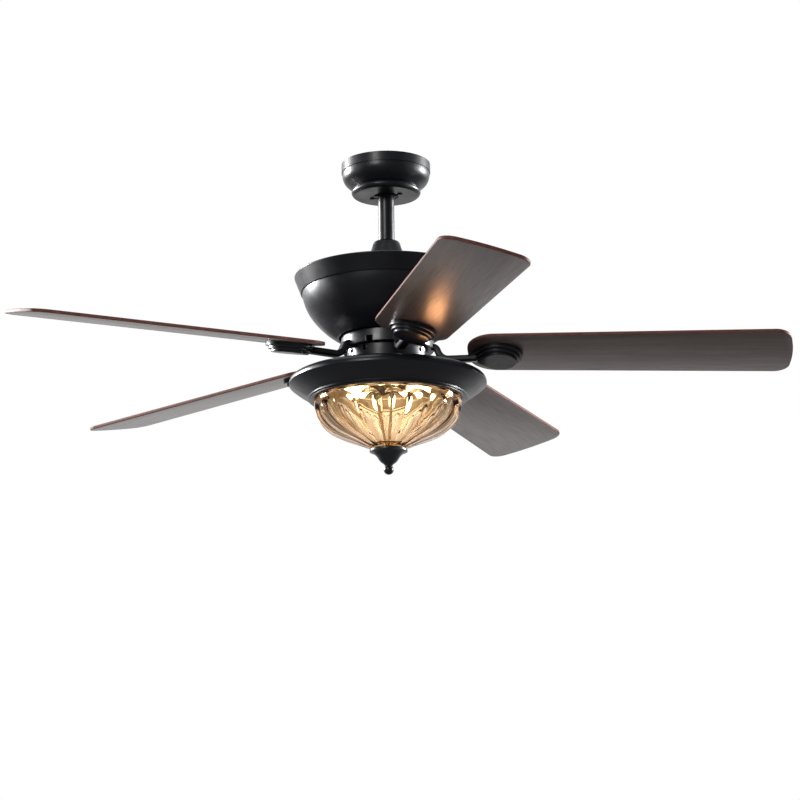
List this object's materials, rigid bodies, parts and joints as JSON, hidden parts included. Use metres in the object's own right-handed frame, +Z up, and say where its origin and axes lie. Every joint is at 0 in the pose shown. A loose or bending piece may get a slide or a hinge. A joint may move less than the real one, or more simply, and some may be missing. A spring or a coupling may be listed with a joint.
{
  "type": "ceiling fan with light",
  "caption": "Ceiling fan on a short downrod, with dark wooden blades on curved black arms and a fluted glass light bowl below the motor.",
  "frame": {"origin": "on the ceiling plane, on the fan's axis, at the top face of the hanger bracket", "axes": "+Z up along the fan's axis; the fan hangs towards -Z; +X along blade 1"},
  "size_m": [1.2226, 1.2789, 0.5298],
  "materials": {
    "zinc_steel": "bright zinc plated",
    "black_enamel": "satin black powder coat",
    "black_cast": "satin black on cast metal",
    "cast_aluminium": "as cast",
    "core_steel": "stacked laminations",
    "copper_wire": "enamelled copper wire",
    "black_plastic": "moulded",
    "lead_sleeve": "wire insulation",
    "walnut": "dark walnut veneer, satin",
    "amber_glass": "clear cognac pressed glass",
    "lamp_glass": "frosted",
    "lamp_cap": "rolled thread",
    "socket_shell": "phenolic",
    "rubber": "soft washer",
    "brushed_rod": "threaded tube"
  },
  "bodies": {
    "mount": {"hanger_bracket": "zinc_steel", "canopy": "black_enamel", "canopy_screws": "black_enamel", "receiver": "black_plastic"},
    "fan": {"ball_pin": "zinc_steel", "bearing_balls": "zinc_steel", "bearing_inner_races": "zinc_steel", "bulb_1": "lamp_glass", "bulb_2": "lamp_glass", "bulb_3": "lamp_glass", "bulb_caps": "lamp_cap", "capacitor": "black_plastic", "centre_rod": "brushed_rod", "clevis_pin": "zinc_steel", "coupling": "black_cast", "coupling_cover": "black_enamel", "coupling_screws": "zinc_steel", "cover_screws": "zinc_steel", "downrod": "black_enamel", "hanger_ball": "black_plastic", "hitch_clip": "zinc_steel", "housing_band": "black_enamel", "housing_bowl": "black_enamel", "housing_screws": "zinc_steel", "lamp_socket_1": "socket_shell", "lamp_socket_2": "socket_shell", "lamp_socket_3": "socket_shell", "lamp_spider": "zinc_steel", "lead_wires": "lead_sleeve", "light_pan": "black_enamel", "motor_shaft": "zinc_steel", "rod_nuts": "zinc_steel", "set_screws": "zinc_steel", "shaft_nut": "zinc_steel", "stator_coils": "copper_wire", "stator_core": "core_steel", "switch_housing": "black_enamel", "switch_plate": "zinc_steel"},
    "rotor": {"rotor_upper_shell": "cast_aluminium", "rotor_lower_shell": "cast_aluminium", "rotor_ring": "core_steel", "bearing_outer_races": "zinc_steel", "blade_carrier": "black_cast", "motor_screws": "zinc_steel", "arm_screws": "black_cast", "blade_screws": "black_cast", "blade_arm_1": "black_cast", "blade_arm_2": "black_cast", "blade_arm_3": "black_cast", "blade_arm_4": "black_cast", "blade_arm_5": "black_cast", "blade_1": "walnut", "blade_2": "walnut", "blade_3": "walnut", "blade_4": "walnut", "blade_5": "walnut"},
    "bowl": {"glass_bowl": "amber_glass", "bowl_washer": "rubber"},
    "finial": {"finial": "black_cast"}
  },
  "joints": [
    {"name": "ball_tilt", "type": "hinge", "parent": "mount", "child": "fan", "pos_m": [0, 0, -0.01963], "axis": [0, 1, 0], "range_deg": [-8, 8]},
    {"name": "blade_spin", "type": "hinge", "parent": "fan", "child": "rotor", "pos_m": [0, 0, -0.2415], "axis": [0, 0, 1], "continuous": true},
    {"name": "bowl_lower", "type": "slide", "parent": "fan", "child": "bowl", "axis": [0, 0, -1], "range_m": [0, 0.06]},
    {"name": "finial_turn", "type": "hinge", "parent": "bowl", "child": "finial", "pos_m": [0, 0, -0.5], "axis": [0, 0, 1], "continuous": true}
  ]
}
